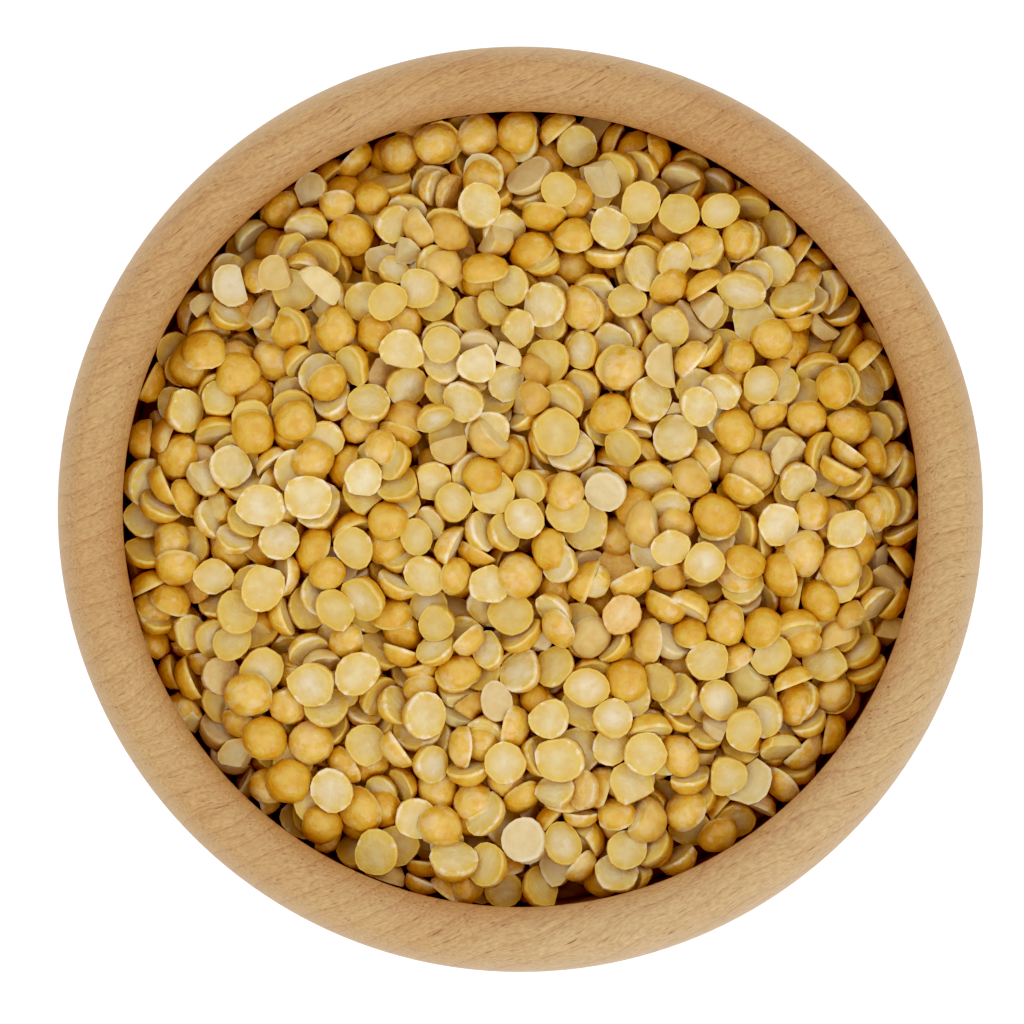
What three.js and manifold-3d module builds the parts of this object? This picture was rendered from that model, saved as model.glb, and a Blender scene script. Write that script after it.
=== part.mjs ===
// A turned beech bowl, filled close to its brim with dry yellow split peas.
// Millimetres, +Z up. The origin is the middle of the bowl's flat foot, on the table.

import * as THREE from "three";
import { mergeVertices } from "three/addons/utils/BufferGeometryUtils.js";
import Module from "manifold-3d";

// The bowl: one turned piece with a thick, fully rounded rim
const BOWL_RADIUS = 70; // the belly, its widest ring
const BOWL_HEIGHT = 60; // foot to crown
const BELLY_HEIGHT = 46; // level of the widest ring, outside and inside
const BELLY_DEPTH = 56; // upright half axis of the ellipse below the belly
const CROWN_RADIUS = 65.2; // the highest ring of the rim
const MOUTH_RADIUS = 59.6; // the narrowest ring of the opening
const MOUTH_DROP = 5.5; // crown down to that ring
const HOLLOW_RADIUS = 61.2; // the hollow widens a little below the mouth
const FLOOR_THICKNESS = 9;
const FOOT_EASE = 1; // height of the softened edge around the foot
const FOOT_INSET = 0.8; // how far that edge stands in from the belly's curve
const ROUND_SIDES = 64;
const HOLLOW_STEPS = 6; // facets of its inner curve, from the belly to the floor

// The split peas: dried peas without their skins, broken into two halves
const PEA_DIAMETER = 6.5;
const PEA_DIAMETER_SPREAD = 0.9; // largest departure from that, either way
const PEA_THICKNESS = 0.44; // flat face to top of the dome, as a share of the diameter
const PEA_OVALNESS = 0.1; // largest shortening across the face
const PEA_SIDES = 7;
const PEA_COUNT = 240;
const FACE_UP_SHARE = 0.45; // lie with the flat face up
const DOME_UP_SHARE = 0.25; // lie with the dome up, and the rest stand on edge
const LYING_TILT = THREE.MathUtils.degToRad(30); // steepest lean of a pea that lies
const STANDING_TILT = [THREE.MathUtils.degToRad(55), THREE.MathUtils.degToRad(115)];

// The heap: a core with the peas that show fused on
const HEAP_DROP = 4.6; // crown down to the tip of the highest pea
const CORE_DROP = 8.2; // crown down to the core's level top
const CORE_SIDES = ROUND_SIDES / 2;
const SUNK_SHARE = [0.3, 0.45]; // part of a pea's height that is sunk in the core
const CLEARANCE = 0.35; // between the heap and the wood
const SEED = 20261;

const beech = new THREE.MeshStandardMaterial({ color: 0xc49d6b, roughness: 0.5, metalness: 0 });
const splitPea = new THREE.MeshStandardMaterial({ color: 0xd2a751, roughness: 0.55, metalness: 0 });

// A quarter or less of an ellipse in the bowl's section, from one angle to another.
function arc(centreRadius, centreHeight, halfWidth, halfHeight, from, to, steps) {
  const curve = new THREE.EllipseCurve(centreRadius, centreHeight, halfWidth, halfHeight, from, to, to < from);
  return curve.getPoints(steps);
}

// The inner surface from the mouth down to the floor, drawn in by a margin.
function hollowProfile(margin) {
  const mouth = new THREE.Vector2(MOUTH_RADIUS - margin, BOWL_HEIGHT - MOUTH_DROP);
  const belly = new THREE.Vector2(HOLLOW_RADIUS - margin, BELLY_HEIGHT);
  const throat = [1 / 3, 2 / 3].map((share) => {
    const widening = (1 - Math.cos(share * Math.PI)) / 2;
    const height = THREE.MathUtils.lerp(mouth.y, belly.y, share);
    return new THREE.Vector2(THREE.MathUtils.lerp(mouth.x, belly.x, widening), height);
  });
  const depth = BELLY_HEIGHT - FLOOR_THICKNESS - margin;
  return [mouth, ...throat, ...arc(0, BELLY_HEIGHT, belly.x, depth, 0, -Math.PI / 2, HOLLOW_STEPS)];
}

function turned(profile, sides) {
  const last = profile.length - 1;
  profile[0].x = 0;
  profile[last].x = 0;
  return new THREE.LatheGeometry(profile, sides).rotateX(Math.PI / 2);
}

// The outer section runs from the middle of the foot up the belly and over the rim.
function bowlGeometry() {
  const footAngle = -Math.asin(BELLY_HEIGHT / BELLY_DEPTH);
  const easeAngle = -Math.asin((BELLY_HEIGHT - FOOT_EASE) / BELLY_DEPTH);
  const footRadius = BOWL_RADIUS * Math.cos(footAngle) - FOOT_INSET;
  const rimHeight = BOWL_HEIGHT - BELLY_HEIGHT;
  const outerRim = arc(CROWN_RADIUS, BELLY_HEIGHT, BOWL_RADIUS - CROWN_RADIUS, rimHeight, 0, Math.PI / 2, 5);
  const mouthHeight = BOWL_HEIGHT - MOUTH_DROP;
  const lipWidth = CROWN_RADIUS - MOUTH_RADIUS;
  const lip = arc(CROWN_RADIUS, mouthHeight, lipWidth, MOUTH_DROP, Math.PI / 2, Math.PI, 4);
  const profile = [
    new THREE.Vector2(0, 0),
    new THREE.Vector2(footRadius, 0),
    ...arc(0, BELLY_HEIGHT, BOWL_RADIUS, BELLY_DEPTH, easeAngle, 0, 7),
    ...outerRim.slice(1),
    ...lip.slice(1, -1),
    ...hollowProfile(0),
  ];
  return turned(profile, ROUND_SIDES);
}

// The core fills the hollow up to a level top, a few millimetres under the highest pea.
function coreGeometry() {
  const top = BOWL_HEIGHT - CORE_DROP;
  const wall = hollowProfile(CLEARANCE).filter((point) => point.y < top);
  const edge = new THREE.Vector2(wall[0].x, top);
  const middle = new THREE.Vector2(0, top);
  return turned([...wall.reverse(), edge, middle], CORE_SIDES);
}

// One half pea about its own middle: flat face up, dome below.
function peaGeometry(diameter, oval) {
  const radius = diameter / 2;
  const thickness = diameter * PEA_THICKNESS;
  const profile = [
    new THREE.Vector2(0, -thickness),
    new THREE.Vector2(0.76 * radius, -0.72 * thickness),
    new THREE.Vector2(radius, 0),
    new THREE.Vector2(0, 0),
  ];
  return turned(profile, PEA_SIDES).scale(1, oval, 1).translate(0, 0, thickness / 2);
}

// Repeatable random draws between two limits.
let draws = SEED;
function draw(low, high) {
  draws = (Math.imul(draws, 1664525) + 1013904223) >>> 0;
  return low + ((high - low) * draws) / 2 ** 32;
}

function peaTilt() {
  const kind = draw(0, 1);
  if (kind < FACE_UP_SHARE) {
    return draw(-LYING_TILT, LYING_TILT);
  }
  if (kind < FACE_UP_SHARE + DOME_UP_SHARE) {
    return Math.PI + draw(-LYING_TILT, LYING_TILT);
  }
  return draw(...STANDING_TILT);
}

function widestReach(geometry) {
  const corner = new THREE.Vector3();
  const places = geometry.attributes.position;
  let reach = 0;
  for (let index = 0; index < places.count; index += 1) {
    corner.fromBufferAttribute(places, index);
    reach = Math.max(reach, Math.hypot(corner.x, corner.y));
  }
  return reach;
}

// A pea of the top layer, bedded in the core, under the highest level and clear of the wood.
function beddedPea(radius, angle) {
  const diameter = PEA_DIAMETER + draw(-PEA_DIAMETER_SPREAD, PEA_DIAMETER_SPREAD);
  const pea = peaGeometry(diameter, 1 - draw(0, PEA_OVALNESS)).rotateZ(draw(0, 2 * Math.PI));
  pea.rotateX(peaTilt()).rotateZ(draw(0, 2 * Math.PI));
  pea.computeBoundingBox();
  const { min, max } = pea.boundingBox;
  const bedded = BOWL_HEIGHT - CORE_DROP - min.z - draw(...SUNK_SHARE) * (max.z - min.z);
  const highest = BOWL_HEIGHT - HEAP_DROP - max.z;
  pea.translate(radius * Math.cos(angle), radius * Math.sin(angle), Math.min(bedded, highest));
  const crossing = Math.max(0, widestReach(pea) - (MOUTH_RADIUS - CLEARANCE));
  return pea.translate(-crossing * Math.cos(angle), -crossing * Math.sin(angle), 0);
}

const wasm = await Module();
wasm.setup();

function solid(geometry) {
  const bare = geometry.clone();
  bare.deleteAttribute("normal");
  bare.deleteAttribute("uv");
  const merged = mergeVertices(bare);
  const vertProperties = new Float32Array(merged.attributes.position.array);
  const triVerts = new Uint32Array(merged.index.array);
  return new wasm.Manifold(new wasm.Mesh({ numProp: 3, vertProperties, triVerts }));
}

// Peas stand along a sunflower spiral, which spreads them evenly over the whole top.
function heapGeometry() {
  const goldenAngle = Math.PI * (3 - Math.sqrt(5));
  const reach = MOUTH_RADIUS - PEA_DIAMETER / 2;
  let heap = solid(coreGeometry());
  for (let index = 0; index < PEA_COUNT; index += 1) {
    const radius = reach * Math.sqrt((index + 0.5) / PEA_COUNT);
    heap = heap.add(solid(beddedPea(radius, index * goldenAngle)));
  }
  // The largest shell is the outside of the heap; the others are sealed pockets.
  const shells = heap.decompose();
  const outside = shells.reduce((best, shell) => (shell.volume() > best.volume() ? shell : best));
  const { vertProperties, triVerts } = outside.getMesh();
  const geometry = new THREE.BufferGeometry();
  geometry.setAttribute("position", new THREE.BufferAttribute(vertProperties, 3));
  geometry.setIndex(new THREE.BufferAttribute(triVerts, 1));
  geometry.computeVertexNormals();
  return geometry;
}

const bowl = new THREE.Mesh(bowlGeometry(), beech);
bowl.name = "bowl";

const heap = new THREE.Mesh(heapGeometry(), splitPea);
heap.name = "split_peas";

const dish = new THREE.Group();
dish.add(bowl, heap);

export default dish;
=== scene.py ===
import math

import bpy
import numpy as np
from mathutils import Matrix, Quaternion, Vector


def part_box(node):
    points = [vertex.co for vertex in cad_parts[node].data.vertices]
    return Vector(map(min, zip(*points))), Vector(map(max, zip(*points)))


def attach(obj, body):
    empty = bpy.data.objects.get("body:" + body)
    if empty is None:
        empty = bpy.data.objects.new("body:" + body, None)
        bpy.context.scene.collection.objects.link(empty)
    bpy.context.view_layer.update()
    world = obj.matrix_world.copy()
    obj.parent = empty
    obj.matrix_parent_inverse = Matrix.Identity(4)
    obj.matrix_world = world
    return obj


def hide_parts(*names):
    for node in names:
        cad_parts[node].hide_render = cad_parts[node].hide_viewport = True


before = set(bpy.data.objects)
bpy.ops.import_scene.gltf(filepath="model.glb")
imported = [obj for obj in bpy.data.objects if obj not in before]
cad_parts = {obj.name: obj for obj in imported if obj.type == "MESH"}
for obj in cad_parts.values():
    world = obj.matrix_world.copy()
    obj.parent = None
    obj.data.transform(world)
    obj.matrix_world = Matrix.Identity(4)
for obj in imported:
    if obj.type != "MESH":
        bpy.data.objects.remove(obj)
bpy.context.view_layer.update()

# The bowl is turned on a lathe from one block of beech, then sanded and lightly oiled.
# Its thick rim is rounded over in one sweep, and the hollow widens a little below the mouth.
MM = 0.001
bowl_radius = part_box("bowl")[1].x
bowl_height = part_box("bowl")[1].z
belly_height = 46 * MM
belly_depth = 56 * MM
crown_radius = 65.2 * MM
mouth_radius = 59.6 * MM
mouth_height = bowl_height - 5.5 * MM
hollow_radius = 61.2 * MM
floor_thickness = 9 * MM
hollow_depth = belly_height - floor_thickness
foot_ease = 1 * MM
foot_inset = 0.8 * MM
foot_shares = (0.3, 0.7, 0.97, 1)
bowl_sides = 96
belly_steps, rim_steps, lip_steps, throat_levels, hollow_steps = 16, 12, 9, 6, 12
lowest_angle = -85


def arc(centre, half_width, half_height, start, end, steps):
    """Points along part of an ellipse in the section of a turned piece, as (radius, height)."""
    angles = np.radians(np.linspace(start, end, steps + 1))
    return [(centre[0] + half_width * math.cos(a), centre[1] + half_height * math.sin(a)) for a in angles]


def throat_radius(height):
    """Radius of the hollow at a height: it widens from the mouth to the belly, then closes."""
    share = np.clip((mouth_height - height) / (mouth_height - belly_height), 0, 1)
    widened = mouth_radius + (hollow_radius - mouth_radius) * (1 - np.cos(share * math.pi)) / 2
    below = np.maximum(belly_height - height, 0) / hollow_depth
    return widened * np.sqrt(1 - below**2)


def turned_piece(name, section, sides):
    """A closed round piece, drawn ring by ring along its section from the axis back to the axis."""
    bpy.ops.object.select_all(action="DESELECT")
    radius, height = section[0]
    bpy.ops.mesh.primitive_circle_add(
        vertices=sides, radius=radius, fill_type="TRIFAN", location=(0, 0, height)
    )
    piece = bpy.context.object
    piece.name = name
    bpy.ops.object.transform_apply(location=True, rotation=True, scale=True)
    bpy.ops.object.mode_set(mode="EDIT")
    bpy.ops.mesh.region_to_loop()
    for next_radius, next_height in section[1:]:
        rise = next_height - height
        bpy.ops.mesh.extrude_edges_move(TRANSFORM_OT_translate={"value": (0, 0, rise)})
        widening = next_radius / radius
        bpy.ops.transform.resize(value=(widening, widening, 1), center_override=(0, 0, next_height))
        radius, height = next_radius, next_height
    bpy.ops.mesh.extrude_edges_move(TRANSFORM_OT_translate={"value": (0, 0, 0)})
    bpy.ops.mesh.merge(type="CENTER")
    bpy.ops.mesh.select_all(action="SELECT")
    bpy.ops.mesh.remove_doubles(threshold=1e-6)
    bpy.ops.mesh.normals_make_consistent(inside=False)
    bpy.ops.object.mode_set(mode="OBJECT")
    smoothing = piece.modifiers.new("Smoothing", "SUBSURF")
    smoothing.levels = 1
    smoothing.render_levels = 1
    bpy.ops.object.modifier_apply(modifier=smoothing.name)
    bpy.ops.object.shade_smooth()
    return piece


def foot_angle(height):
    """Angle on the belly's ellipse, in degrees, at a height above the table."""
    return -math.degrees(math.asin((belly_height - height) / belly_depth))


foot_radius = bowl_radius * math.cos(math.radians(foot_angle(0))) - foot_inset
throat_heights = np.linspace(mouth_height, belly_height, throat_levels)[1:-1]
rim_width, rim_rise = bowl_radius - crown_radius, bowl_height - belly_height
lip_width, lip_rise = crown_radius - mouth_radius, bowl_height - mouth_height
bowl_section = [
    *[(share * foot_radius, 0) for share in foot_shares],
    *arc((0, belly_height), bowl_radius, belly_depth, foot_angle(foot_ease), 0, belly_steps),
    *arc((crown_radius, belly_height), rim_width, rim_rise, 0, 90, rim_steps)[1:],
    *arc((crown_radius, mouth_height), lip_width, lip_rise, 90, 180, lip_steps)[1:],
    *[(throat_radius(height), height) for height in throat_heights],
    *arc((0, belly_height), hollow_radius, hollow_depth, 0, lowest_angle, hollow_steps),
]
bowl = turned_piece("turned_bowl", bowl_section, bowl_sides)


def paint(code):
    """An sRGB hex colour as linear red, green, blue and alpha."""
    parts = [int(code[i : i + 2], 16) / 255 for i in (1, 3, 5)]
    return (*[c / 12.92 if c <= 0.04045 else ((c + 0.055) / 1.055) ** 2.4 for c in parts], 1)


def add_node(tree, kind, inputs=None, stops=(), **settings):
    """A node with its settings, its colour stops if it is a ramp, and its inputs set or linked."""
    made = tree.nodes.new(kind)
    for name, value in settings.items():
        setattr(made, name, value)
    for index, (place, colour) in enumerate(stops):
        ramp = made.color_ramp.elements
        if index < 2:
            ramp[index].position = place
        spot = ramp[index] if index < 2 else ramp.new(place)
        spot.color = paint(colour)
    for name, value in (inputs or {}).items():
        if isinstance(value, bpy.types.NodeSocket):
            tree.links.new(value, made.inputs[name])
        else:
            made.inputs[name].default_value = value
    return made


# Oiled beech: a fine, even, pale brown wood, paler towards the front right of the bowl. Growth rings
# show as thin straight lines along the fibres, the vessels as short dark dashes, with fine flecks all over.
# The dashes and flecks are drawn coarser than life, so that they show.
fibre_direction = math.radians(27)
pith_aside, pith_height = 150 * MM, 55 * MM
pale_side, dark_side = pith_aside - 64 * MM, pith_aside - 14 * MM
ring_width = 3.4 * MM
bend_size, bend_reach = 28 * MM, (6 * MM, 9 * MM, 6 * MM)
smoothest_wood, roughest_wood = 0.46, 0.62
pore_depth, pore_strength = 0.05 * MM, 0.25

beech = bpy.data.materials.new("oiled_beech")
beech.use_nodes = True
wood = beech.node_tree
wood.nodes.clear()
wood_place = add_node(wood, "ShaderNodeTexCoord").outputs["Object"]
plank = add_node(
    wood,
    "ShaderNodeMapping",
    {"Vector": wood_place, "Rotation": (0, 0, -fibre_direction), "Location": (0, pith_aside, -pith_height)},
).outputs["Vector"]
wander = add_node(wood, "ShaderNodeTexNoise", {"Vector": plank, "Scale": 1 / bend_size, "Detail": 2})
bent = add_node(
    wood,
    "ShaderNodeVectorMath",
    {0: wander.outputs["Color"], 1: bend_reach, 2: plank},
    operation="MULTIPLY_ADD",
).outputs["Vector"]
bent_parts = add_node(wood, "ShaderNodeSeparateXYZ", {"Vector": bent})
across, upward = bent_parts.outputs["Y"], bent_parts.outputs["Z"]
flat_place = add_node(wood, "ShaderNodeCombineXYZ", {"Y": across, "Z": upward}).outputs[0]
outward = add_node(wood, "ShaderNodeVectorMath", {0: flat_place}, operation="LENGTH").outputs["Value"]
ring_count = add_node(
    wood, "ShaderNodeMath", {0: outward, 1: 1 / ring_width}, operation="MULTIPLY"
).outputs[0]
ring_phase = add_node(wood, "ShaderNodeMath", {0: ring_count}, operation="FRACT").outputs[0]
ring_colour = add_node(
    wood,
    "ShaderNodeValToRGB",
    {"Fac": ring_phase},
    stops=[(0.0, "#CCAE82"), (1.0, "#CBAD81"), (0.8, "#C9AA7F"), (0.9, "#C6A57B"), (0.95, "#BA996F")],
).outputs["Color"]


def grain(length, width, height, detail):
    """Noise drawn out along the fibres, with the given cell size along, across and upward."""
    stretched = add_node(
        wood,
        "ShaderNodeVectorMath",
        {0: bent, 1: (1 / length, 1 / width, 1 / height)},
        operation="MULTIPLY",
    ).outputs["Vector"]
    noise = add_node(wood, "ShaderNodeTexNoise", {"Vector": stretched, "Scale": 1, "Detail": detail})
    return noise.outputs["Fac"]


streaks = grain(length=26 * MM, width=0.5 * MM, height=0.5 * MM, detail=3)
dashes = grain(length=4.2 * MM, width=0.26 * MM, height=0.4 * MM, detail=0)
flecks = grain(length=0.9 * MM, width=0.32 * MM, height=0.32 * MM, detail=2)
clouds = grain(length=30 * MM, width=24 * MM, height=24 * MM, detail=2)
# Paler towards the front right of the bowl, and a shade darker elsewhere.
side = add_node(
    wood, "ShaderNodeMapRange", {"Value": across, "From Min": pale_side, "From Max": dark_side}
).outputs["Result"]
wood_colour = ring_colour
for value, stops in (
    (streaks, [(0.25, "#EBE8E3"), (0.75, "#FFFFFF")]),
    (dashes, [(0.16, "#C0B2A2"), (0.3, "#FFFFFF")]),
    (flecks, [(0.3, "#DCD7CE"), (0.7, "#FFFFFF")]),
    (clouds, [(0.3, "#F4E8DA"), (0.7, "#FFFFFF")]),
    (side, [(0.0, "#FFFFFF"), (1.0, "#F1E5CF")]),
):
    shade = add_node(wood, "ShaderNodeValToRGB", {"Fac": value}, stops=stops).outputs["Color"]
    wood_colour = add_node(
        wood, "ShaderNodeMix", {0: 1.0, 6: wood_colour, 7: shade}, data_type="RGBA", blend_type="MULTIPLY"
    ).outputs[2]
wood_roughness = add_node(
    wood, "ShaderNodeMapRange", {"Value": streaks, "To Min": smoothest_wood, "To Max": roughest_wood}
).outputs["Result"]
wood_relief = add_node(
    wood, "ShaderNodeBump", {"Height": streaks, "Strength": pore_strength, "Distance": pore_depth}
).outputs["Normal"]
wood_shader = add_node(
    wood,
    "ShaderNodeBsdfPrincipled",
    {
        "Base Color": wood_colour,
        "Roughness": wood_roughness,
        "Normal": wood_relief,
        "Specular IOR Level": 0.4,
    },
)
add_node(wood, "ShaderNodeOutputMaterial", {"Surface": wood_shader.outputs["BSDF"]})
bowl.data.materials.append(beech)
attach(bowl, "root")
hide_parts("bowl")

# The core is what lies under the peas that show: the same peas, packed, as one plain body.
# It fills the hollow to a level well under the top layers, just clear of the wood.
core_clearance = 0.35 * MM
core_height = bowl_height - 18.6 * MM
core_edge = throat_radius(core_height) - core_clearance
core_radius = hollow_radius - core_clearance
core_depth = hollow_depth - core_clearance
core_start = math.degrees(math.asin((core_height - belly_height) / core_depth))
core_shares = (0.97, 0.6, 0.2)
core_section = [
    *arc((0, belly_height), core_radius, core_depth, lowest_angle, core_start, hollow_steps),
    *[(share * core_edge, core_height) for share in core_shares],
]
core = turned_piece("pea_core", core_section, bowl_sides)

# Packed split peas: seen only in the gaps, so their colour is painted shade: dull and as dark as the
# shade they lie in, with a paler spot for each pea that darkens, as painted shade, where they meet.
packed_size = 6 * MM
shaded_packed_peas = bpy.data.materials.new("packed_peas_painted_shade")
shaded_packed_peas.use_nodes = True
packed = shaded_packed_peas.node_tree
packed.nodes.clear()
packed_place = add_node(packed, "ShaderNodeTexCoord").outputs["Object"]
packed_cells = add_node(packed, "ShaderNodeTexVoronoi", {"Vector": packed_place, "Scale": 1 / packed_size})
# Painted shade: far darker than a pea, and darkest where the packed peas meet.
packed_shade_colour = add_node(
    packed,
    "ShaderNodeValToRGB",
    {"Fac": packed_cells.outputs["Distance"]},
    stops=[(0.1, "#A08C5C"), (0.7, "#5C5034")],
).outputs["Color"]
packed_shader = add_node(
    packed, "ShaderNodeBsdfPrincipled", {"Base Color": packed_shade_colour, "Roughness": 0.7}
)
add_node(packed, "ShaderNodeOutputMaterial", {"Surface": packed_shader.outputs["BSDF"]})
core.data.materials.append(shaded_packed_peas)
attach(core, "root")
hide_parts("split_peas")

# The split peas are dried yellow peas, skinned and broken into halves: a flat cut face and a dome.
# Some are chipped or broken again, some are floury, and a few are pitted, green or keep their skin.
# Each is drawn on its own, about the middle of its weight. Sizes here are in millimetres.
dice = np.random.default_rng(20261)
pea_count = 1400
pea_diameter, diameter_spread = 6.7, 0.5
diameter_limits = (5.3, 8.0)
pea_thickness = (0.40, 0.48)
pea_oval = (0.84, 1.0)
pea_sides = 16
dome_fullness = 0.85
dome_angles = np.radians((4, 28, 56))
face_share, edge_way = 0.965, 0.482
edge_angles = np.linspace(0, 2 * math.pi, pea_sides, endpoint=False)
# Rings from the cut face over its edge to the dome, as shares of the radius, the height and the way.
# The way runs from nought in the middle of the face, by a half at the edge, to one at the dome's tip.
pea_rings = [(face_share, 0, edge_way)]
pea_rings += [
    (math.cos(a) ** dome_fullness, -(math.sin(a) ** dome_fullness), 0.5 + a / math.pi)
    for a in dome_angles
]
ring_radius, ring_depth, ring_way = [np.array(column)[:, None] for column in zip(*pea_rings)]
pea_way = np.concatenate([[0], np.repeat(ring_way, pea_sides), [1]])
pea_tip = len(pea_way) - 1


def pea_faces():
    """Faces of one pea: a fan on the cut face, rings of four-sided faces, and a fan on the dome."""
    faces = []
    for ring in range(len(pea_rings) + 1):
        inner = 1 + (ring - 1) * pea_sides
        outer = 1 + ring * pea_sides
        for side in range(pea_sides):
            following = (side + 1) % pea_sides
            if ring == 0:
                faces.append((0, outer + side, outer + following))
            elif ring == len(pea_rings):
                faces.append((inner + following, inner + side, pea_tip))
            else:
                faces.append((inner + side, outer + side, outer + following, inner + following))
    return faces


one_pea = pea_faces()
pea_triangles = np.array([(f[0], f[i], f[i + 1]) for f in one_pea for i in range(1, len(f) - 1)])

# How uneven a pea is: waves in its outline, as a count and a size, and the share of peas with a beak
# or a notch, how far that reaches and how wide it is. Then how the face and the dome vary, and how
# the flat breaks lie.
outline_waves = ((2, 0.018), (3, 0.024), (4, 0.018), (5, 0.015), (7, 0.008))
beak_share, beak_reach, beak_width = 0.2, (0.06, 0.15), 0.28
notch_share, notch_reach, notch_width = 0.2, (0.05, 0.14), 0.3
bite_width = 0.5
face_rise, rise_spread = -0.03, 0.06
dome_lean = 0.09
break_tilt, break_turn = 0.2, (1.2, 2.2)
break_passes, least_break, break_way = 4, 0.05, 0.3


def edge_bump(width):
    """A soft bump somewhere on the outline: one at its top, and nothing away from it."""
    away = (edge_angles - dice.uniform(0, 2 * math.pi) + math.pi) % (2 * math.pi) - math.pi
    return np.exp(-((away / width) ** 2))


def pea_outline(bite):
    """The uneven outline of one pea, as shares of its radius: blunt corners, a beak, notch or bite."""
    outline = np.ones(pea_sides)
    for waves, size in outline_waves:
        outline += dice.normal(0, size) * np.cos(waves * edge_angles + dice.uniform(0, 2 * math.pi))
    if dice.random() < beak_share:
        outline += dice.uniform(*beak_reach) * edge_bump(beak_width)
    if dice.random() < notch_share:
        outline -= dice.uniform(*notch_reach) * edge_bump(notch_width)
    return outline - bite * edge_bump(bite_width)


def draw_pea(lumps, breaks, bite):
    """Points of one pea about the middle of its weight, and each point's way from face to dome."""
    diameter = np.clip(dice.normal(pea_diameter, diameter_spread), *diameter_limits)
    half_length = diameter / 2
    half_width = half_length * dice.uniform(*pea_oval)
    height = diameter * dice.uniform(*pea_thickness)
    rise = half_length * dice.normal(face_rise, rise_spread)
    lean = half_length * dice.normal(0, dome_lean, 2)
    reach = ring_radius * pea_outline(bite) * (1 + dice.normal(0, lumps, (len(pea_rings), pea_sides)))
    x = half_length * reach * np.cos(edge_angles) - lean[0] * ring_depth
    y = half_width * reach * np.sin(edge_angles) - lean[1] * ring_depth
    level = np.where(ring_depth == 0, rise * (1 - ring_radius**2), height * ring_depth)
    z = level + np.zeros_like(reach)
    rings = np.stack([x, y, z], -1).reshape(-1, 3)
    points = np.concatenate([[(0, 0, rise)], rings, [(lean[0], lean[1], -height)]])
    way = pea_way.copy()
    facing = dice.uniform(0, 2 * math.pi)
    planes = []
    for depth in breaks:
        tilt = dice.normal(0, break_tilt)
        flat = math.cos(tilt)
        straight = np.array([math.cos(facing) * flat, math.sin(facing) * flat, math.sin(tilt)])
        planes.append((straight, depth * half_length))
        facing += dice.uniform(*break_turn)
    for straight, depth in planes * break_passes:
        beyond = np.maximum(points @ straight - depth, 0)
        points -= beyond[:, None] * straight
        way[beyond > least_break] = break_way
    corners = points[pea_triangles]
    parts = np.einsum("ij,ij->i", corners[:, 0], np.cross(corners[:, 1], corners[:, 2]))
    middle = (corners.sum(1) * parts[:, None]).sum(0) / (4 * parts.sum())
    return points - middle, way


pea_shares = {
    "clean_halves": 0.84,
    "floury_halves": 0.02,
    "broken_peas": 0.115,
    "green_halves": 0.006,
    "pitted_peas": 0.01,
    "peas_in_skin": 0.009,
}
lumpy_kinds = ("pitted_peas", "peas_in_skin")
smooth_lumps, coarse_lumps = 0.007, 0.03
# Where a break or a bite lies, as a share of the radius: shallow on whole halves, deep on broken peas.
chipped_share, chip_depths = 0.18, (0.6, 0.92)
bitten_share, bite_depths = 0.06, (0.1, 0.25)
break_counts, break_depths = (1, 3), (0.1, 0.55)
gouged_share, gouge_depths = 0.4, (0.1, 0.45)
peas = []
for kind in dice.choice(list(pea_shares), pea_count, p=list(pea_shares.values())):
    breaks = [dice.uniform(*chip_depths)] if dice.random() < chipped_share else []
    bite = dice.uniform(*bite_depths) if dice.random() < bitten_share else 0
    if kind == "broken_peas":
        breaks = dice.uniform(*break_depths, dice.integers(*break_counts))
        bite = dice.uniform(*gouge_depths) if dice.random() < gouged_share else 0
    lumps = coarse_lumps if kind in lumpy_kinds else smooth_lumps
    points, way = draw_pea(lumps, breaks, bite)
    peas.append({"kind": kind, "points": points, "way": way})

# The pour: each pea falls as a hard body inside a round wall, which follows the hollow at a small
# distance and goes on straight up from the mouth. The bodies are a hundred times life size, because
# small ones jitter.
pour_scale = 100 * MM
pour_frames = 44
start_spacing, start_layer, start_radius = 8.6, 7.4, 56
start_rise, start_shift = 5, 0.5
face_up_share, face_up_lean = 0.45, math.radians(30)
wall_sides, wall_gap = 64, 0.6
wall_sunk, wall_steps, wall_rise = 2, 10, 150
ground_side = 200
pea_fall = 9810
pea_friction, pea_mass, pea_margin = 0.45, 0.1, 0.02
air_drag, spin_drag = 0.1, 0.2
core_level, mouth_level = core_height / MM, mouth_height / MM
scene = bpy.context.scene


def pour_body(name, points, faces):
    """A body for the pour, made of points in millimetres."""
    mesh = bpy.data.meshes.new(name)
    mesh.from_pydata(np.array(points) * pour_scale, [], faces)
    body = bpy.data.objects.new(name, mesh)
    scene.collection.objects.link(body)
    return body


def harden(bodies, kind, shape):
    """Make those bodies hard, either falling or fixed."""
    bpy.ops.object.select_all(action="DESELECT")
    for body in bodies:
        body.select_set(True)
    bpy.context.view_layer.objects.active = bodies[0]
    bpy.ops.rigidbody.objects_add(type=kind)
    for body in bodies:
        body.rigid_body.collision_shape = shape
        body.rigid_body.use_margin = True
        body.rigid_body.collision_margin = pea_margin * pour_scale
        body.rigid_body.friction = pea_friction
        body.rigid_body.restitution = 0
        body.rigid_body.mass = pea_mass
        body.rigid_body.linear_damping = air_drag
        body.rigid_body.angular_damping = spin_drag


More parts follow.
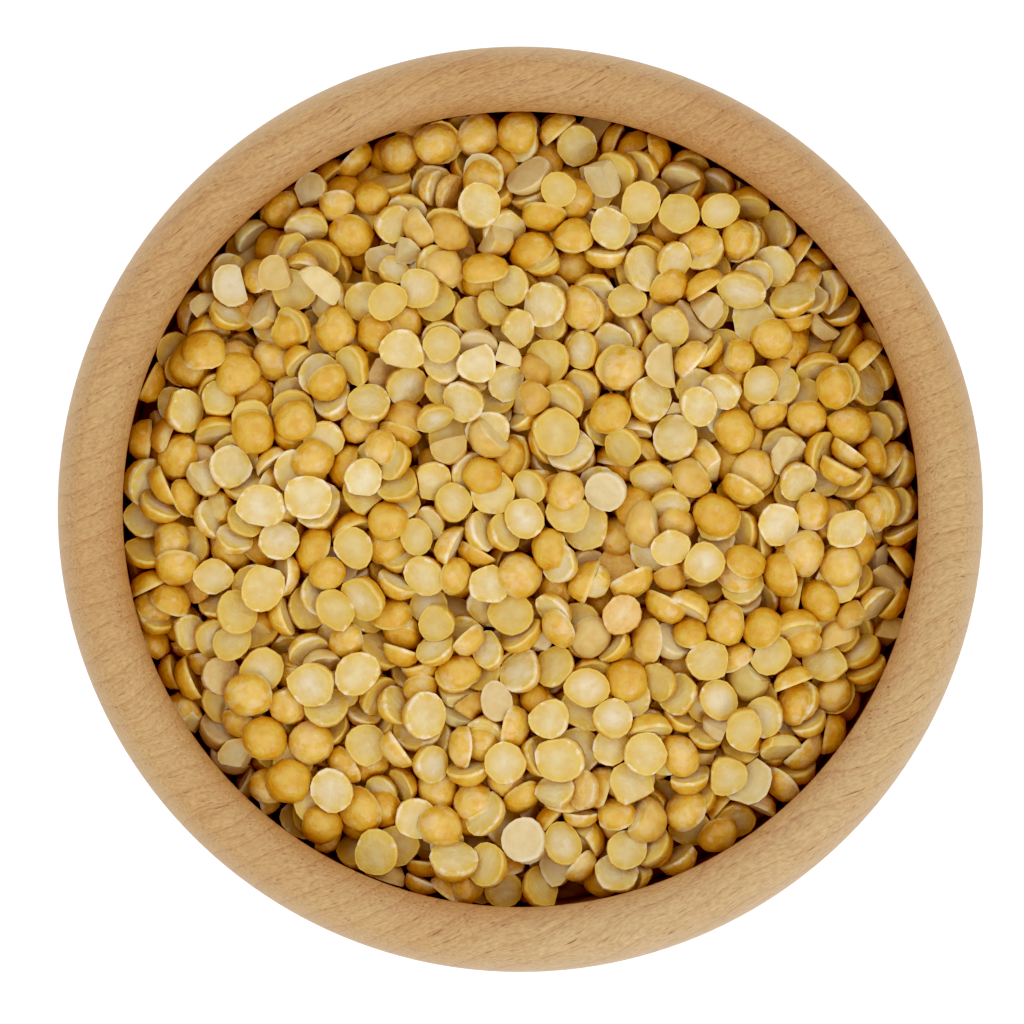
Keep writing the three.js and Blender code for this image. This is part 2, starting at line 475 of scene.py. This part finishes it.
# A body is the hull of the face's middle, the dome's tip, the widest ring and every second point past it.
hull_points = [0, pea_tip, *range(1 + pea_sides, 1 + 2 * pea_sides), *range(1 + 2 * pea_sides, pea_tip, 2)]
grid = np.arange(-start_radius, start_radius, start_spacing)
starts = [(x, y) for x in grid for y in grid if math.hypot(x, y) < start_radius - start_spacing / 2]
bodies = []
for number, pea in enumerate(peas):
    layer, seat = divmod(number, len(starts))
    body = pour_body("falling_pea", pea["points"][hull_points], [])
    aside = dice.uniform(-start_shift, start_shift, 2) + (layer % 2) * start_spacing / 2
    start_level = core_level + start_rise + layer * start_layer
    start = (starts[seat][0] + aside[0], starts[seat][1] + aside[1], start_level)
    body.location = np.array(start) * pour_scale
    lean = dice.normal(0, face_up_lean) if dice.random() < face_up_share else dice.uniform(0, math.pi)
    around, spin = dice.uniform(0, 2 * math.pi, 2)
    body.rotation_mode = "QUATERNION"
    body.rotation_quaternion = Quaternion((math.cos(around), math.sin(around), 0), lean)
    body.rotation_quaternion @= Quaternion((0, 0, 1), spin)
    bodies.append(body)

wall_levels = [*np.linspace(core_level - wall_sunk, mouth_level, wall_steps), mouth_level + wall_rise]
wall_angles = np.linspace(0, 2 * math.pi, wall_sides, endpoint=False)
wall_rings = [(throat_radius(level * MM) / MM - wall_gap, level) for level in wall_levels]
wall_points = [(r * math.cos(a), r * math.sin(a), level) for r, level in wall_rings for a in wall_angles]
wall_faces = [
    (ring * wall_sides + side, ring * wall_sides + following, below + following, below + side)
    for ring in range(1, len(wall_levels))
    for side, following in zip(range(wall_sides), [*range(1, wall_sides), 0])
    for below in [(ring - 1) * wall_sides]
]
wall = pour_body("pouring_wall", wall_points, wall_faces)
bpy.ops.object.select_all(action="DESELECT")
bpy.ops.mesh.primitive_cube_add(
    size=ground_side * pour_scale, location=(0, 0, (core_level - ground_side / 2) * pour_scale)
)
ground = bpy.context.object

bpy.ops.rigidbody.world_add()
pouring = scene.rigidbody_world
pouring.substeps_per_frame = 5
pouring.solver_iterations = 12
pouring.time_scale = 0.25
pouring.point_cache.frame_end = pour_frames
scene.gravity = (0, 0, -pea_fall * pour_scale)
harden(bodies, "ACTIVE", "CONVEX_HULL")
harden([wall], "PASSIVE", "MESH")
harden([ground], "PASSIVE", "BOX")
for moment in range(1, pour_frames + 1):
    scene.frame_set(moment)
settled = bpy.context.evaluated_depsgraph_get()
for pea, body in zip(peas, bodies):
    resting = np.array(body.evaluated_get(settled).matrix_world)
    pea["points"] = pea["points"] @ resting[:3, :3].T + resting[:3, 3] / pour_scale

bpy.data.collections.remove(pouring.collection)
bpy.ops.rigidbody.world_remove()
for body in [*bodies, wall, ground]:
    bpy.data.meshes.remove(body.data)
scene.frame_set(1)
scene.gravity = (0, 0, -9.81)

# What settled: a pea that stands too high is taken off, and one that touches the wood moves in a little.
highest_tip = bowl_height / MM - 4.6
edge_drop, edge_power = 6, 8


def stands_too_high(points):
    """Whether a pea's tip is above the heap, which is level but for a fall towards the wall."""
    distance = np.hypot(*points[:, :2].mean(0))
    return points[:, 2].max() > highest_tip - edge_drop * (distance * MM / mouth_radius) ** edge_power


peas = [pea for pea in peas if not stands_too_high(pea["points"])]
for pea in peas:
    points = pea["points"]
    distance = np.hypot(points[:, 0], points[:, 1])
    crossing = (distance - throat_radius(points[:, 2] * MM) / MM + wall_gap).max()
    if crossing > 0:
        inward = -points[:, :2].mean(0)
        points[:, :2] += inward / np.linalg.norm(inward) * crossing

sharp_edge = math.radians(48)
disc_share = 0.92
corner_points = np.concatenate(one_pea)
dome_side = [pea_way[list(face)].min() >= edge_way for face in one_pea]
corner_side = np.repeat(dome_side, [len(face) for face in one_pea])


def pea_piece(name, finish):
    """All peas of one kind as one mesh, with its marks and a flat layout of two discs for each pea."""
    members = [pea for pea in peas if pea["kind"] == name]
    cells = math.ceil(math.sqrt(2 * len(members)))
    vertices, faces, marks, layout = [], [], [], []
    for number, pea in enumerate(members):
        first = number * len(pea_way)
        vertices.extend(pea["points"] * MM)
        faces.extend([tuple(first + corner for corner in face) for face in one_pea])
        tone, chance = dice.random(2)
        marks.extend([(way, tone, chance, 1) for way in pea["way"]])
        cell = 2 * number + corner_side
        from_middle = np.where(corner_side, 1 - pea_way[corner_points], pea_way[corner_points])
        spread = from_middle.clip(0, 0.5) * disc_share
        turn = 2 * math.pi * ((corner_points - 1) % pea_sides) / pea_sides
        across = (cell % cells + 0.5 + spread * np.cos(turn)) / cells
        upward = (cell // cells + 0.5 + spread * np.sin(turn)) / cells
        layout.append(np.stack([across, upward], -1))
    mesh = bpy.data.meshes.new(name)
    mesh.from_pydata(vertices, [], faces)
    mesh.attributes.new("pea_marks", "FLOAT_COLOR", "POINT").data.foreach_set("color", np.ravel(marks))
    mesh.uv_layers.new(name="OFBake").uv.foreach_set("vector", np.ravel(layout))
    mesh.shade_smooth()
    mesh.set_sharp_from_angle(angle=sharp_edge)
    mesh.materials.append(finish)
    piece = bpy.data.objects.new(name, mesh)
    scene.collection.objects.link(piece)
    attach(piece, "root")
    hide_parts("split_peas")


mottle_size = 1.9 * MM
dust_reach = 0.2


def pea_finish(name, way_stops, tone_stops, blotch, heart, powder, roughness, pits):
    """A dried pea's surface: colours on the way from face to dome, a tone for each pea, and flour.

    Blotch and pits are a size and a colour or depth, heart and powder a colour and the limits between
    which it shows, and roughness that of the face and that of the dome.
    """
    finish = bpy.data.materials.new(name)
    finish.use_nodes = True
    tree = finish.node_tree
    tree.nodes.clear()
    marks = add_node(tree, "ShaderNodeAttribute", attribute_name="pea_marks")
    parts = add_node(tree, "ShaderNodeSeparateColor", {"Color": marks.outputs["Color"]})
    way, tone, chance = [parts.outputs[part] for part in ("Red", "Green", "Blue")]
    spot = add_node(tree, "ShaderNodeTexCoord").outputs["Object"]
    colour = add_node(tree, "ShaderNodeValToRGB", {"Fac": way}, stops=way_stops).outputs["Color"]
    shade = add_node(tree, "ShaderNodeValToRGB", {"Fac": tone}, stops=tone_stops).outputs["Color"]
    toned = add_node(
        tree, "ShaderNodeMix", {0: 1.0, 6: colour, 7: shade}, data_type="RGBA", blend_type="MULTIPLY"
    ).outputs[2]

    # Blotches are strongest on the dome.
    blotch_size, blotch_colour = blotch
    blotches = add_node(tree, "ShaderNodeTexNoise", {"Vector": spot, "Scale": 1 / blotch_size, "Detail": 3})
    blotch_shade = add_node(
        tree,
        "ShaderNodeValToRGB",
        {"Fac": blotches.outputs["Fac"]},
        stops=[(0.36, blotch_colour), (0.64, "#FFFFFF")],
    ).outputs["Color"]
    blotch_depth = add_node(
        tree,
        "ShaderNodeMapRange",
        {"Value": way, "From Min": 0.44, "From Max": 0.56, "To Min": 0.65, "To Max": 1.0},
    ).outputs["Result"]
    blotched = add_node(
        tree,
        "ShaderNodeMix",
        {0: blotch_depth, 6: toned, 7: blotch_shade},
        data_type="RGBA",
        blend_type="MULTIPLY",
    ).outputs[2]

    # The middle of some cut faces is white and crumbly.
    heart_colour, heart_limits = heart
    crumbly = add_node(
        tree,
        "ShaderNodeMapRange",
        {"Value": chance, "From Min": heart_limits[0], "From Max": heart_limits[1]},
    ).outputs["Result"]
    in_heart = add_node(
        tree, "ShaderNodeMapRange", {"Value": way, "From Min": 0.42, "From Max": 0.05}
    ).outputs["Result"]
    crumbs = add_node(tree, "ShaderNodeMath", {0: crumbly, 1: in_heart}, operation="MULTIPLY").outputs[0]
    mottle = add_node(tree, "ShaderNodeTexNoise", {"Vector": spot, "Scale": 1 / mottle_size, "Detail": 5})
    grainy = add_node(
        tree, "ShaderNodeMapRange", {"Value": mottle.outputs["Fac"], "From Min": 0.3, "From Max": 0.55}
    ).outputs["Result"]
    hearted = add_node(tree, "ShaderNodeMath", {0: crumbs, 1: grainy}, operation="MULTIPLY").outputs[0]
    whitened = add_node(
        tree, "ShaderNodeMix", {0: hearted, 6: blotched, 7: paint(heart_colour)}, data_type="RGBA"
    ).outputs[2]

    # Flour clings to the edge, where peas rub on each other, and less to the face and the dome.
    powder_colour, powder_limits = powder
    uneven = add_node(
        tree, "ShaderNodeMath", {0: tone, 1: dust_reach, 2: mottle.outputs["Fac"]}, operation="MULTIPLY_ADD"
    ).outputs[0]
    dusted = add_node(
        tree,
        "ShaderNodeMapRange",
        {"Value": uneven, "From Min": powder_limits[0], "From Max": powder_limits[1], "To Max": 0.9},
    ).outputs["Result"]
    where = add_node(
        tree,
        "ShaderNodeValToRGB",
        {"Fac": way},
        stops=[(0.0, "#505050"), (1.0, "#606060"), (0.38, "#646464"), (0.48, "#F0F0F0"), (0.56, "#8C8C8C")],
    ).outputs["Color"]
    dust = add_node(tree, "ShaderNodeMath", {0: dusted, 1: where}, operation="MULTIPLY").outputs[0]
    dusty = add_node(
        tree, "ShaderNodeMix", {0: dust, 6: whitened, 7: paint(powder_colour)}, data_type="RGBA"
    ).outputs[2]

    # The face is dull and the dome smoother, and fine dimples cover both.
    face_roughness, dome_roughness = roughness
    dullness = add_node(
        tree,
        "ShaderNodeMapRange",
        {
            "Value": way,
            "From Min": 0.45,
            "From Max": 0.6,
            "To Min": face_roughness,
            "To Max": dome_roughness,
        },
    ).outputs["Result"]
    pit_size, pit_depth = pits
    dimples = add_node(
        tree, "ShaderNodeTexNoise", {"Vector": spot, "Scale": 1 / pit_size, "Detail": 4, "Roughness": 0.6}
    )
    relief = add_node(
        tree, "ShaderNodeBump", {"Height": dimples.outputs["Fac"], "Strength": 0.6, "Distance": pit_depth}
    ).outputs["Normal"]
    surface = add_node(
        tree,
        "ShaderNodeBsdfPrincipled",
        {"Base Color": dusty, "Roughness": dullness, "Normal": relief, "Specular IOR Level": 0.45},
    )
    add_node(tree, "ShaderNodeOutputMaterial", {"Surface": surface.outputs["BSDF"]})
    return finish


# Clean halves are dried split peas with nothing wrong: the cut face is pale, dull and floury, and the
# dome deeper yellow and smooth. The thin light line where the two meet is a painted highlight, and the
# dome's steep side is painted a little deeper orange, as painted shade. No two have the same tone.
dried_split_pea = pea_finish(
    "dried_split_pea",
    way_stops=[
        (0.0, "#D5C799"),
        (1.0, "#D7B156"),
        (0.28, "#D4BF80"),
        (0.44, "#D4B858"),
        # The light line at the edge is a painted highlight, and the deeper orange just past it painted
        # shade.
        (0.482, "#E2CB80"),
        (0.522, "#E4CF8C"),
        (0.56, "#D6AD4C"),
    ],
    tone_stops=[(0.0, "#F3E8C8"), (1.0, "#FFFFFF"), (0.5, "#FAF4E4")],
    blotch=(2.0 * MM, "#F4DDB0"),
    heart=("#DCD0B2", (0.5, 1.1)),
    powder=("#E5D9BC", (0.66, 0.72)),
    roughness=(0.66, 0.26),
    pits=(1.2 * MM, 0.5 * MM),
)
pea_piece("clean_halves", dried_split_pea)

# Floury halves are covered all over in their own flour, rubbed off in the sack.
# That leaves them paler than the rest, and dull on the dome as well.
floury_split_pea = pea_finish(
    "floury_split_pea",
    # The paler stop at the edge is a painted highlight, a thin light line.
    way_stops=[(0.0, "#D4C498"), (1.0, "#D2B778"), (0.4, "#D2BE8E"), (0.482, "#DCCCA0"), (0.56, "#D2B97E")],
    tone_stops=[(0.0, "#F4E8CE"), (1.0, "#FFFFF6")],
    blotch=(1.6 * MM, "#F4E8D8"),
    heart=("#D8CBAE", (0.3, 1.0)),
    powder=("#DED2B6", (0.5, 0.8)),
    roughness=(0.75, 0.65),
    pits=(1.1 * MM, 0.3 * MM),
)
pea_piece("floury_halves", floury_split_pea)

# Broken peas are halves that broke again when they were split, with one or two flat breaks.
# A break is pale and crumbly, like the cut face.
broken_split_pea = pea_finish(
    "broken_split_pea",
    way_stops=[
        (0.0, "#D2C28C"),
        (1.0, "#D6B05A"),
        (0.3, "#D6C188"),
        (0.42, "#D2B870"),
        # The paler stop at the edge is a painted highlight, a thin light line.
        (0.482, "#DECA8C"),
        (0.56, "#D6AF56"),
    ],
    tone_stops=[(0.0, "#EAD8B6"), (1.0, "#FFFFFC")],
    blotch=(1.6 * MM, "#F2E4CC"),
    heart=("#D8CCAC", (0.4, 1.0)),
    powder=("#E0D4B4", (0.56, 0.84)),
    roughness=(0.7, 0.5),
    pits=(1.2 * MM, 0.35 * MM),
)
pea_piece("broken_peas", broken_split_pea)

# Green halves come from peas that were picked before they were ripe.
# They are duller than the rest, and a little green.
green_split_pea = pea_finish(
    "green_split_pea",
    # The paler stop at the edge is a painted highlight, a thin light line.
    way_stops=[(0.0, "#CDBF94"), (1.0, "#C8AE68"), (0.4, "#CABA86"), (0.482, "#D8CA9C"), (0.56, "#C8B06C")],
    tone_stops=[(0.0, "#ECE2CA"), (1.0, "#FFFDF4")],
    blotch=(2.2 * MM, "#E8E6D4"),
    heart=("#CCC6A4", (0.3, 1.1)),
    powder=("#DAD4B8", (0.56, 0.86)),
    roughness=(0.66, 0.5),
    pits=(1.4 * MM, 0.3 * MM),
)
pea_piece("green_halves", green_split_pea)

# Pitted peas shrank as they dried, which left deep dimples all over.
# They are lumpy and dull, and more orange than the rest.
pitted_dried_pea = pea_finish(
    "pitted_dried_pea",
    way_stops=[(0.0, "#E2C074"), (1.0, "#E2BE70"), (0.46, "#DEB868"), (0.5, "#CCA050"), (0.54, "#DEBA6C")],
    tone_stops=[(0.0, "#F0E0C6"), (1.0, "#FFFFF8")],
    blotch=(0.8 * MM, "#EACFA4"),
    heart=("#DCC694", (0.5, 1.0)),
    powder=("#E2D0A4", (0.55, 0.8)),
    roughness=(0.6, 0.55),
    pits=(0.8 * MM, 0.6 * MM),
)
pea_piece("pitted_peas", pitted_dried_pea)

# Peas in their skin missed the skinning: a thin, pale, papery skin still covers them.
# It is lumpy and dull, with a darker seam where the halves meet.
pea_in_its_skin = pea_finish(
    "pea_in_its_skin",
    way_stops=[(0.0, "#D6C290"), (1.0, "#D5BC88"), (0.45, "#D5BD8A"), (0.5, "#C4A46C"), (0.56, "#D5BC88")],
    tone_stops=[(0.0, "#F2E4CC"), (1.0, "#FFFDF4")],
    blotch=(1.3 * MM, "#EEDDC8"),
    heart=("#D8C4A4", (0.4, 1.0)),
    powder=("#DCCCB2", (0.5, 0.8)),
    roughness=(0.66, 0.6),
    pits=(1.0 * MM, 0.45 * MM),
)
pea_piece("peas_in_skin", pea_in_its_skin)

# The floor is a light table of white acrylic, which glows a little. A pale room gives most of the
# light, and three large soft lamps the rest, the strongest of them in front and to the right.
table_side = 6
table_glow = 0.85
lamp_width = 0.35
bpy.ops.object.select_all(action="DESELECT")
bpy.ops.mesh.primitive_plane_add(size=table_side, location=(0, 0, 0))
floor = bpy.context.object
floor.name = "floor"
light_table = bpy.data.materials.new("white_light_table")
light_table.use_nodes = True
table_surface = light_table.node_tree.nodes["Principled BSDF"]
table_surface.inputs["Base Color"].default_value = paint("#8C8C8C")
table_surface.inputs["Roughness"].default_value = 0.8
table_surface.inputs["Emission Color"].default_value = paint("#FFFFFF")
table_surface.inputs["Emission Strength"].default_value = table_glow
floor.data.materials.append(light_table)

room = bpy.data.worlds.new("pale_room")
room.use_nodes = True
room.node_tree.nodes["Background"].inputs["Color"].default_value = paint("#FFFFFF")
room.node_tree.nodes["Background"].inputs["Strength"].default_value = 1.0
scene.world = room
for name, stand, energy in (
    ("front_lamp", (0.3, -0.7, 0.8), 2.6),
    ("right_lamp", (0.55, 0.45, 0.9), 1.0),
    ("left_lamp", (-0.65, 0.25, 0.9), 1.0),
):
    bpy.ops.object.light_add(type="AREA", location=stand)
    lamp = bpy.context.object
    lamp.name = name
    lamp.data.shape = "DISK"
    lamp.data.size = lamp_width
    lamp.data.energy = energy
    aim = Vector((0, 0, bowl_height)) - Vector(stand)
    lamp.rotation_euler = aim.to_track_quat("-Z", "Y").to_euler()

# The picture has a camera's contrast: deep blacks, and middle tones a little lighter in red and green,
# with green and blue held back in the shade. Each pair is a tone before and after.
scene.view_settings.view_transform = "Standard"
scene.view_settings.gamma = 1.08
scene.view_settings.use_curve_mapping = True
tone_curve = scene.view_settings.curve_mapping
tone_curve.black_level = (0.006, 0.012, 0.012)
red_tones = [(0.12, 0.12), (0.42, 0.452), (0.7, 0.695)]
green_tones = [(0.06, 0.044), (0.22, 0.22), (0.33, 0.35), (0.6, 0.59)]
blue_tones = [(0.03, 0.021), (0.12, 0.12)]
for curve, tones in zip(tone_curve.curves, (red_tones, green_tones, blue_tones)):
    for before, after in tones:
        curve.points.new(before, after)
tone_curve.update()

# The camera looks straight down, as far off as a product photograph is taken.
picture_side = 1024
outline_diameter = 923.8
outline_middle = (520.4, 509.3)
camera_distance = 0.7
sensor_width = 36
view_depth = camera_distance + bowl_height - belly_height
view_width = 2 * bowl_radius * picture_side / outline_diameter
pixel = view_width / picture_side
bpy.ops.object.camera_add(
    location=(
        (picture_side / 2 - outline_middle[0]) * pixel,
        (outline_middle[1] - picture_side / 2) * pixel,
        bowl_height + camera_distance,
    ),
    rotation=(0, 0, 0),
)
camera = bpy.context.object
camera.data.sensor_width = sensor_width
camera.data.lens = sensor_width * view_depth / view_width
scene.camera = camera
